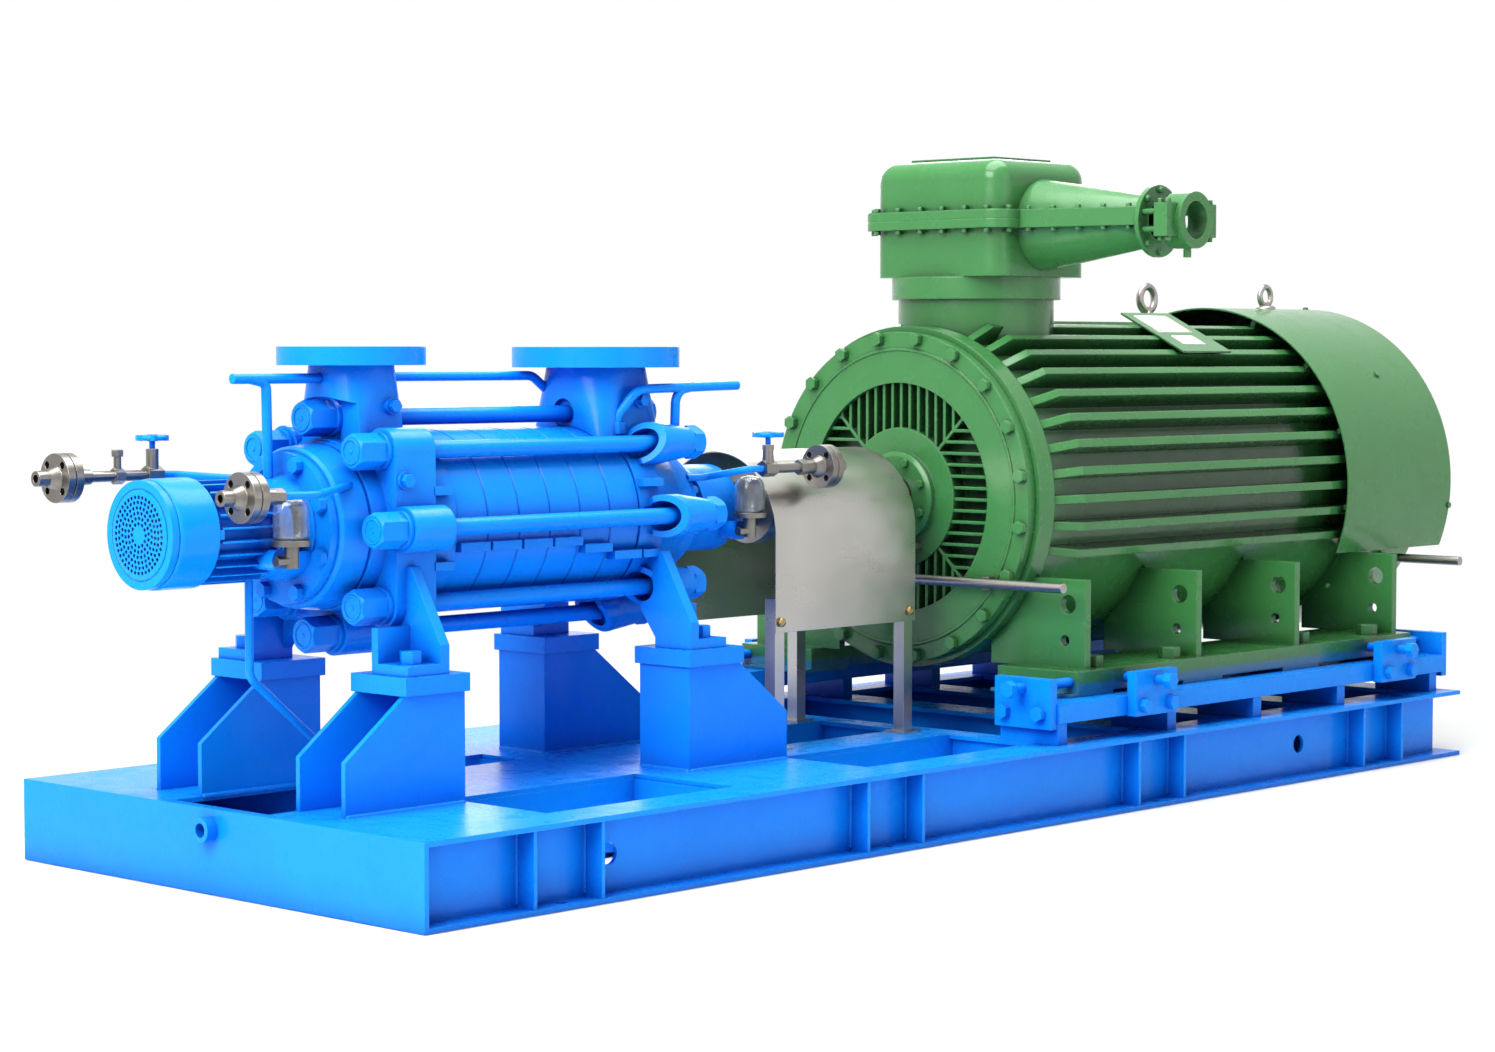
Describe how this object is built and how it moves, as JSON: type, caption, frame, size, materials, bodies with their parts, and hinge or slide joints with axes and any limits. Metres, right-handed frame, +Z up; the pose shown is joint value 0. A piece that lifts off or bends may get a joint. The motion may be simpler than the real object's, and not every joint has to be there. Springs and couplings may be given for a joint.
{
  "type": "ring-section pump",
  "caption": "Multistage ring-section pump on a welded base, with its coupling guard, finned electric motor, oilers and seal flushing pipes.",
  "frame": {"origin": "centre of the anchor-hole rectangle, on the underside of the base", "axes": "+X along the shaft from the pump to the motor, +Y across, away from the side with the oilers, +Z up"},
  "size_m": [4.784, 1.582, 1.805],
  "materials": {
    "blue_paint": "glossy sky-blue enamel on welded steel",
    "blue_casting": "glossy sky-blue enamel on cast iron",
    "green_paint": "semi-gloss leaf-green enamel on cast iron",
    "stainless_sheet": "smooth stainless sheet",
    "fitting_steel": "machined stainless fittings",
    "machined_steel": "turned steel",
    "bare_steel": "zinc-grey forged steel",
    "raw_casting": "unpainted cast iron",
    "bearing_metal": "bearing rings",
    "lamination_steel": "stacked electrical steel",
    "fan_plastic": "black moulded fan",
    "bottle_glass": "clear glass"
  },
  "bodies": {
    "frame": {"base_side_beams": "blue_paint", "base_end_plate": "blue_paint", "base_deck": "blue_paint", "base_cross_members": "blue_paint", "pump_pedestals": "blue_paint", "motor_rails": "blue_paint", "discharge_casing": "blue_casting", "suction_casing": "blue_casting", "stage_casing_1": "blue_casting", "stage_casing_2": "blue_casting", "stage_casing_3": "blue_casting", "stage_casing_4": "blue_casting", "stage_casing_5": "blue_casting", "stage_casing_6": "blue_casting", "diffusers": "raw_casting", "tie_rods": "blue_paint", "tie_rod_nuts": "blue_paint", "seal_covers": "blue_casting", "nde_bearing_bracket": "blue_casting", "nde_bearing_housing": "blue_casting", "nde_fan_cowl": "blue_paint", "de_bearing_bracket": "blue_casting", "shaft_bearings": "bearing_metal", "pump_bolts": "blue_paint", "guard_shell": "stainless_sheet", "guard_legs": "stainless_sheet", "motor_frame": "green_paint", "motor_endshield_de": "green_paint", "motor_endshield_nde": "green_paint", "motor_stator": "lamination_steel", "motor_hood": "green_paint", "motor_feet": "green_paint", "jacking_blocks": "blue_paint", "terminal_box": "green_paint", "terminal_box_lid": "green_paint", "cable_cone": "green_paint", "cable_clamp": "green_paint", "lifting_eyes": "bare_steel", "nameplate_bracket": "green_paint", "motor_bolts": "green_paint", "grease_pipes": "bare_steel", "oiler_bases": "fitting_steel", "flush_piping_nde": "fitting_steel", "flush_piping_de": "fitting_steel", "valve_bodies": "fitting_steel", "casing_pipes": "blue_paint"},
    "motor_rotor": {"motor_shaft": "machined_steel", "motor_rotor_core": "lamination_steel", "motor_fan": "fan_plastic", "motor_coupling": "machined_steel"},
    "pump_rotor": {"pump_shaft": "machined_steel", "impellers": "raw_casting", "cooling_fan": "fan_plastic", "pump_coupling_hub": "machined_steel"},
    "valve_stem_nde": {"valve_plug_nde": "machined_steel"},
    "valve_stem_de": {"valve_plug_de": "machined_steel"},
    "valve_wheel_nde": {"handwheel_nde": "blue_paint"},
    "valve_wheel_de": {"handwheel_de": "blue_paint"},
    "oiler_glass_nde": {"oiler_bottle_nde": "bottle_glass"},
    "oiler_glass_de": {"oiler_bottle_de": "bottle_glass"}
  },
  "joints": [
    {"name": "motor_spin", "type": "hinge", "parent": "frame", "child": "motor_rotor", "pos_m": [0, 0, 0.838], "axis": [1, 0, 0], "continuous": true},
    {"name": "pump_spin", "type": "hinge", "parent": "frame", "child": "pump_rotor", "pos_m": [0, 0, 0.838], "axis": [1, 0, 0], "continuous": true},
    {"name": "valve_rise_nde", "type": "slide", "parent": "frame", "child": "valve_stem_nde", "axis": [0, 0, 1], "range_m": [0, 0.006]},
    {"name": "valve_turn_nde", "type": "hinge", "parent": "valve_stem_nde", "child": "valve_wheel_nde", "pos_m": [-2.053, 0.3, 0.959], "axis": [0, 0, 1], "range_deg": [0, 1440]},
    {"name": "valve_rise_de", "type": "slide", "parent": "frame", "child": "valve_stem_de", "axis": [0, 0, 1], "range_m": [0, 0.006]},
    {"name": "valve_turn_de", "type": "hinge", "parent": "valve_stem_de", "child": "valve_wheel_de", "pos_m": [-0.502, -0.25, 0.947], "axis": [0, 0, 1], "range_deg": [0, 1440]},
    {"name": "bottle_lift_nde", "type": "slide", "parent": "frame", "child": "oiler_glass_nde", "axis": [0, 0, 1], "range_m": [0, 0.12]},
    {"name": "bottle_lift_de", "type": "slide", "parent": "frame", "child": "oiler_glass_de", "axis": [0, 0, 1], "range_m": [0, 0.09]}
  ],
  "couplings": [
    {"joint": "pump_spin", "follows": "motor_spin", "ratio": 1},
    {"joint": "valve_rise_nde", "follows": "valve_turn_nde", "m_per_rad": 0.00023873},
    {"joint": "valve_rise_de", "follows": "valve_turn_de", "m_per_rad": 0.00023873}
  ]
}
